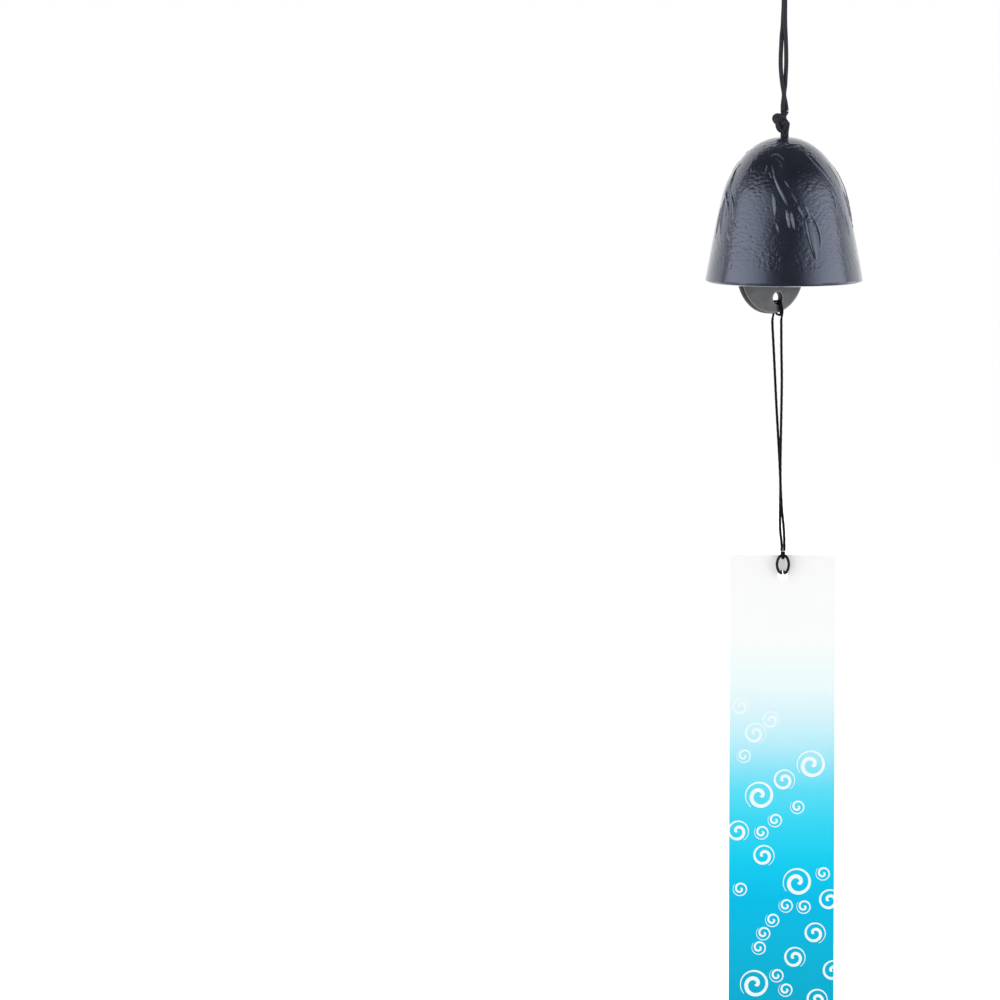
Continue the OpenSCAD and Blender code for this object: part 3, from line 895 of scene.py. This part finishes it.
def make_hitch():
    """Two turns of the thread round the wire, a bar across them and a collar above."""
    a = np.linspace(0, 4 * math.pi, 140)
    wrap = np.stack(
        [-0.55 + 1.1 * a / a[-1], -WRAP_R * np.sin(a), HITCH_Z + WRAP_R * np.cos(a)], axis=1
    )
    bar = smooth_route([(-0.75, -0.9, -276.4), (-0.5, -1.35, -277.0), (0.4, -1.4, -277.3),
                        (0.8, -1.0, -277.9)], 0.1)
    a = np.linspace(0, 3 * math.pi, 90)
    collar = np.stack(
        [COLLAR_R * np.cos(a), COLLAR_R * np.sin(a), -276.2 + 0.45 * a / a[-1]], axis=1
    )
    return joined([laid(resampled(wrap, 0.1), THREAD_D), laid(bar, 0.7),
                   laid(resampled(collar, 0.1), 0.9)])


piece("hitch_thread", "ring_top", "thread", THREAD, *make_hitch(), stands_for=("ring_hitch",))


# The card strip, its blue fade and its printed spirals
STRIP_W, STRIP_L, STRIP_T = 47.0, 225.0, 0.35
STRIP_TOP = -277.2
STRIP_FRONT = 2.0
HOLE_R, HOLE_DOWN = 2.3, 9.1


def card_material():
    m, nodes, links, bsdf = new_material("printed_card")
    at = nodes.new("ShaderNodeTexCoord")
    split = nodes.new("ShaderNodeSeparateXYZ")
    links.new(at.outputs["Object"], split.inputs["Vector"])
    span = (STRIP_TOP * MM, (STRIP_TOP - STRIP_L) * MM)
    down = mapped(nodes, links, split.outputs["Z"], span)
    fade = ramp(nodes, links, down, FADE)
    links.new(fade.outputs["Color"], bsdf.inputs["Base Color"])
    set_inputs(bsdf, {"Roughness": 0.62, "Specular IOR Level": 0.04})
    bump(nodes, links, bsdf, 2600, 4, 0.12, 0.03)
    return m


def ink_material():
    m, nodes, links, bsdf = new_material("white_ink")
    mottled(nodes, links, bsdf, 1200, (0.80, 0.93, 0.94), (0.89, 0.97, 0.97), (0.5, 0.6))
    bsdf.inputs["Specular IOR Level"].default_value = 0.3
    return m


FADE = [
    (0.0, (0.93, 0.93, 0.93)), (0.165, (0.925, 0.945, 0.935)), (0.23, (0.845, 0.945, 0.945)),
    (0.27, (0.80, 0.93, 0.945)), (0.31, (0.69, 0.885, 0.945)), (0.35, (0.56, 0.865, 0.935)),
    (0.39, (0.415, 0.815, 0.93)), (0.43, (0.235, 0.76, 0.92)), (0.47, (0.105, 0.72, 0.90)),
    (0.53, (0.040, 0.665, 0.885)), (0.61, (0.007, 0.60, 0.855)), (0.69, (0.002, 0.505, 0.79)),
    (0.77, (0.004, 0.465, 0.71)), (0.85, (0.004, 0.425, 0.645)), (1.0, (0.003, 0.37, 0.585)),
]


def make_card():
    w = STRIP_W / 2
    corner = 0.4
    a = np.linspace(0, math.pi / 2, 4)
    outline = []
    for cx, cz, start in ((w, 0, 0), (-w, 0, 1), (-w, -STRIP_L, 2), (w, -STRIP_L, 3)):
        inset = (cx - math.copysign(corner, cx), cz + (corner if start > 1 else -corner))
        for b in a:
            outline.append((inset[0] + corner * math.cos(b + start * math.pi / 2),
                            inset[1] + corner * math.sin(b + start * math.pi / 2)))
    side = np.linspace(-3, -STRIP_L + 3, 50)
    outline[8:8] = [(-w, z) for z in side]
    outline += [(w, z) for z in side[::-1]]
    b = np.linspace(0, 2 * math.pi, 48, endpoint=False)
    hole = [(HOLE_R * math.cos(t), -HOLE_DOWN + HOLE_R * math.sin(t)) for t in b]
    inner = [(x, z) for x in np.linspace(-20, 20, 9) for z in side
             if math.hypot(x, z + HOLE_DOWN) > 3]
    points = outline + hole + inner
    n_out, n_hole = len(outline), len(hole)
    edges = [(k, (k + 1) % n_out) for k in range(n_out)]
    edges += [(n_out + k, n_out + (k + 1) % n_hole) for k in range(n_hole)]
    made = delaunay_2d_cdt([Vector(p) for p in points], edges, [], 0, 1e-6)
    flat = np.array([tuple(v) for v in made[0]])
    middle = [flat[list(f)].mean(axis=0) for f in made[2]]
    tris = [tuple(f) for f, (x, z) in zip(made[2], middle)
            if math.hypot(x, z + HOLE_DOWN) > HOLE_R - 0.02]
    n = len(flat)
    z = STRIP_TOP + flat[:, 1]
    y = STRIP_FRONT + card_bow(flat[:, 1])
    front = np.column_stack([flat[:, 0], y, z])
    back = np.column_stack([flat[:, 0], y + STRIP_T, z])
    faces = tris + [tuple(n + i for i in reversed(f)) for f in tris]
    for start, count in ((0, n_out), (n_out, n_hole)):
        for k in range(start, start + count):
            m = start + (k + 1 - start) % count
            faces.append((k, k + n, m + n, m))
    return np.vstack([front, back]), faces


def card_bow(down):
    """The card's slight curve out of flat, nothing at its hole."""
    share = np.clip(-(np.asarray(down) + 18) / (STRIP_L - 18), 0, 1)
    return 0.5 * np.sin(math.pi * share) * share


piece("card_strip", "strip", "card", card_material(), *make_card(), stands_for=("strip",),
      smooth=False)


# Spirals in four sizes, placed near the photograph's own: outer radius, hand and
# where the tail ends in degrees, then their places, across and below the strip's top
SPIRALS = [
    (6.3, 1, 225, [(13, 94), (-10, 108), (7, 147), (-12, 193), (4, 211)]),
    (4.8, -1, -60, [(-12, 80), (1, 101), (-19.5, 124), (-8, 135), (21.5, 155), (15, 170),
                   (6, 181), (16, 200), (23.2, 187), (-9, 214)]),
    (3.2, -1, 140, [(-17, 90), (7, 113), (-3, 119), (-9, 124.5), (18.5, 143), (2, 157.5),
                   (10, 158), (-4, 164), (-8, 170), (-10, 176.5), (-2, 189), (2, 195.5),
                   (-20, 206), (20, 213), (-18.5, 150)]),
    (3.9, -1, -60, [(-18.5, 68), (-5, 74)]),
]
# a spiral's radius along its length, as shares of its own
SPIRAL_RUN = [(0, 1), (0.2, 0.95), (0.35, 0.89), (0.5, 0.74), (0.62, 0.56), (0.76, 0.41),
              (0.9, 0.25), (1, 0.07)]


def spiral(radius, hand, tail, turns=1.8, steps=90):
    """A tapering spiral as a ribbon: its two edges, from the tail to the middle."""
    s = np.linspace(0, 1, steps)
    a = math.radians(tail) - hand * 2 * math.pi * turns * s
    fine = np.linspace(-0.1, 1.1, 241)
    wide = np.interp(fine, *zip(*SPIRAL_RUN))
    r = radius * np.interp(s, fine[10:-10], np.convolve(wide, np.ones(21) / 21, "valid"))
    half = radius * (0.02 + 0.12 * np.minimum(1, s / 0.55))
    half *= np.sqrt(np.clip((1 - s) / 0.05, 0.002, 1))
    way = np.stack([np.cos(a), np.sin(a)], axis=1)
    return (r + half)[:, None] * way, np.maximum(r - half, 0.02 * radius)[:, None] * way


def make_spirals():
    parts = []
    for radius, hand, tail, places in SPIRALS:
        for x, down in places:
            outer, inner = spiral(radius, hand, tail + rng.uniform(-12, 12))
            rows = []
            for edge, lift in ((outer, -0.04), (inner, -0.04), (inner, 0.1), (outer, 0.1)):
                across = np.clip(x + edge[:, 0], -STRIP_W / 2 + 0.05, STRIP_W / 2 - 0.05)
                drop = edge[:, 1] - down
                rows.append(np.column_stack(
                    [across, STRIP_FRONT + card_bow(drop) + lift, STRIP_TOP + drop]
                ))
            n = len(outer)
            faces = [(k * n + i, k * n + i + 1, (k + 1) % 4 * n + i + 1, (k + 1) % 4 * n + i)
                     for k in range(4) for i in range(n - 1)]
            faces += [(0, n, 2 * n, 3 * n), (n - 1, 2 * n - 1, 3 * n - 1, 4 * n - 1)]
            parts.append((np.vstack(rows), faces))
    return joined(parts)


piece("strip_spirals", "strip", "card", ink_material(), *make_spirals(),
      stands_for=("strip",), smooth=False)


# Stage: white to the camera, to glossy and to transmission rays, plain elsewhere
def seen_rays(nodes, links):
    """One for camera, glossy and transmission rays."""
    path = nodes.new("ShaderNodeLightPath")
    total = path.outputs["Is Camera Ray"]
    for kind in ("Is Glossy Ray", "Is Transmission Ray"):
        total = two_values(nodes, links, "MAXIMUM", total, path.outputs[kind])
    return total


AMBIENT = 0.48
world = bpy.data.worlds.new("studio")
world.use_nodes = True
scene.world = world
wn, wl = world.node_tree.nodes, world.node_tree.links
back = wn["Background"]
back.inputs["Color"].default_value = (1, 1, 1, 1)
wl.new(mapped(wn, wl, seen_rays(wn, wl), to=(AMBIENT, 1)), back.inputs["Strength"])

FLOOR_Z = -620
FLOOR_HALF = 4.0
# how far from the object the floor's glow starts and is whole, in metres, and its least
GLOW_FROM, GLOW_TO, GLOW_LEAST = 0.55, 1.35, 0.1


def floor_material():
    """White card. Its glow makes up what the lamps leave short of white, less near the
    object, so the object's shadow stays on it."""
    m, nodes, links, bsdf = new_material("floor_white")
    set_inputs(bsdf, {
        "Base Color": (0.9, 0.9, 0.9, 1), "Roughness": 0.9, "Specular IOR Level": 0.0,
    })
    at = nodes.new("ShaderNodeTexCoord")
    away = nodes.new("ShaderNodeVectorMath")
    away.operation = "LENGTH"
    links.new(at.outputs["Object"], away.inputs[0])
    fill = mapped(nodes, links, away.outputs["Value"], (GLOW_FROM, GLOW_TO), (GLOW_LEAST, 1))
    share = two_values(nodes, links, "MULTIPLY", fill, seen_rays(nodes, links))
    glow = nodes.new("ShaderNodeEmission")
    glow.inputs["Color"].default_value = (1, 1, 1, 1)
    links.new(share, glow.inputs["Strength"])
    both = nodes.new("ShaderNodeAddShader")
    links.new(bsdf.outputs["BSDF"], both.inputs[0])
    links.new(glow.outputs["Emission"], both.inputs[1])
    # from below it is clear, so that the bell can be looked into
    facing = nodes.new("ShaderNodeNewGeometry")
    clear = nodes.new("ShaderNodeBsdfTransparent")
    shown = nodes.new("ShaderNodeMixShader")
    links.new(facing.outputs["Backfacing"], shown.inputs["Fac"])
    links.new(both.outputs["Shader"], shown.inputs[1])
    links.new(clear.outputs["BSDF"], shown.inputs[2])
    links.new(shown.outputs["Shader"], nodes["Material Output"].inputs["Surface"])
    return m


floor_mesh = bpy.data.meshes.new("floor")
floor_mesh.from_pydata(
    [(x * FLOOR_HALF, y * FLOOR_HALF, FLOOR_Z * MM)
     for x, y in ((-1, -1), (1, -1), (1, 1), (-1, 1))], [], [(0, 1, 2, 3)]
)
floor = bpy.data.objects.new("floor", floor_mesh)
scene.collection.objects.link(floor)
floor_mesh.materials.append(floor_material())


def area_lamp(name, at, towards, size, power):
    data = bpy.data.lights.new(name, "AREA")
    data.shape = "RECTANGLE"
    data.size, data.size_y = size
    data.energy = power
    obj = bpy.data.objects.new(name, data)
    obj.location = at
    obj.rotation_euler = (Vector(towards) - Vector(at)).to_track_quat("-Z", "Y").to_euler()
    scene.collection.objects.link(obj)
    return obj


# Two tall softboxes light the sides and show in the lacquer. Their inner edges bound the
# dark band in front, so they are placed by the direction in which the bell shows them.
BELL_Z = -0.125
LAMP_AWAY = 1.1
# how bright a softbox is across from its inner edge, and from its foot up
ACROSS = [(0, 0.02), (0.1, 0.12), (0.2, 0.4), (0.3, 0.6), (0.45, 0.87), (0.6, 1.0), (1, 0.95)]
UPWARD = [(0, 1.0), (0.55, 1.0), (0.8, 0.5), (0.92, 0.15), (1, 0.02)]


def soft_edges(data, inner_is_high):
    """Lets a lamp fall off over its face, as a softbox does."""
    data.use_nodes = True
    nodes, links = data.node_tree.nodes, data.node_tree.links
    where = nodes.new("ShaderNodeNewGeometry")
    split = nodes.new("ShaderNodeSeparateXYZ")
    links.new(where.outputs["Parametric"], split.inputs["Vector"])
    across = mapped(nodes, links, split.outputs["X"], to=(1, 0) if inner_is_high else (0, 1))
    side = ramp(nodes, links, across, [(p, (f, f, f)) for p, f in ACROSS])
    tall = ramp(nodes, links, split.outputs["Y"], [(p, (f, f, f)) for p, f in UPWARD])
    both = two_values(nodes, links, "MULTIPLY", side.outputs["Color"], tall.outputs["Color"])
    links.new(both, nodes["Emission"].inputs["Strength"])


def softbox(name, inner, outer, low, high, radiance):
    """A lamp that fills a span round the bell, in degrees from the front to the side."""
    middle = math.radians((inner + outer) / 2)
    width = 2 * LAMP_AWAY * math.tan(math.radians(abs(outer - inner) / 2))
    z_low = BELL_Z + LAMP_AWAY * math.tan(math.radians(low))
    z_high = BELL_Z + LAMP_AWAY * math.tan(math.radians(high))
    z = (z_low + z_high) / 2
    area = width * (z_high - z_low)
    lamp = area_lamp(
        name, (LAMP_AWAY * math.sin(middle), -LAMP_AWAY * math.cos(middle), z), (0, 0, z),
        (width, z_high - z_low), math.pi * area * radiance,
    )
    soft_edges(lamp.data, inner_is_high=inner < 0)


softbox("left_softbox", -15, -98, -40, 46, 2.0)
softbox("right_softbox", 22, 100, -40, 46, 2.0)
back_lamp = area_lamp("back_softbox", (0, 1.1, 0.9), (0, 0, BELL_Z), (2.0, 1.3), 10.0)
back_lamp.visible_glossy = False


# What else the lacquer shows: a dark room in front and above, and behind it a wall dimmer
# than the paper. Only reflections see them. For each direction round the bell, in degrees,
# a shell reaches from one height to another. Both end just above the floor.
ROOM_LOW = [(0, -90), (98, -90), (107, 37), (125, 45), (150, 54), (180, 62)]
WALL_LOW = [(0, 90), (98, 90), (107, 12), (180, 12)]
ROOM_R = 2.2
ROOM_FOOT = -0.6
WALL_GLOW = 0.95


def shell(low, high, columns=72, rows=14):
    around = np.linspace(-180, 180, columns, endpoint=False)
    low, high = (np.interp(np.abs(around), *zip(*line)) for line in (low, high))
    az = np.radians(around)
    verts = []
    for share in np.linspace(0, 1, rows):
        up = np.radians(low + np.maximum(high - low, 0) * share)
        way = np.stack([np.cos(up) * np.sin(az), -np.cos(up) * np.cos(az), np.sin(up)], axis=1)
        away = np.minimum(ROOM_R, (ROOM_FOOT - BELL_Z) / np.minimum(way[:, 2], -1e-6))
        verts.append(away[:, None] * way + (0, 0, BELL_Z))
    faces = [(r * columns + k, r * columns + (k + 1) % columns,
              (r + 1) * columns + (k + 1) % columns, (r + 1) * columns + k)
             for r in range(rows - 1) for k in range(columns)
             if (high - low)[k] > 0 or (high - low)[(k + 1) % columns] > 0]
    return np.vstack(verts), faces


def only_reflected(name, verts, faces, level):
    mesh = bpy.data.meshes.new(name)
    mesh.from_pydata(verts.tolist(), [], faces)
    mesh.validate()
    m, nodes, links, bsdf = new_material(name)
    set_inputs(bsdf, {
        "Base Color": (0.02, 0.02, 0.022, 1), "Roughness": 1.0, "Specular IOR Level": 0.0,
        "Emission Color": (1, 1, 1, 1), "Emission Strength": level,
    })
    mesh.materials.append(m)
    obj = bpy.data.objects.new(name, mesh)
    scene.collection.objects.link(obj)
    obj.visible_camera = False
    obj.visible_diffuse = False
    obj.visible_shadow = False
    obj.visible_transmission = False


only_reflected("dark_room", *shell(ROOM_LOW, [(0, 90), (180, 90)]), 0.0)
only_reflected("dim_wall", *shell(WALL_LOW, ROOM_LOW), WALL_GLOW)
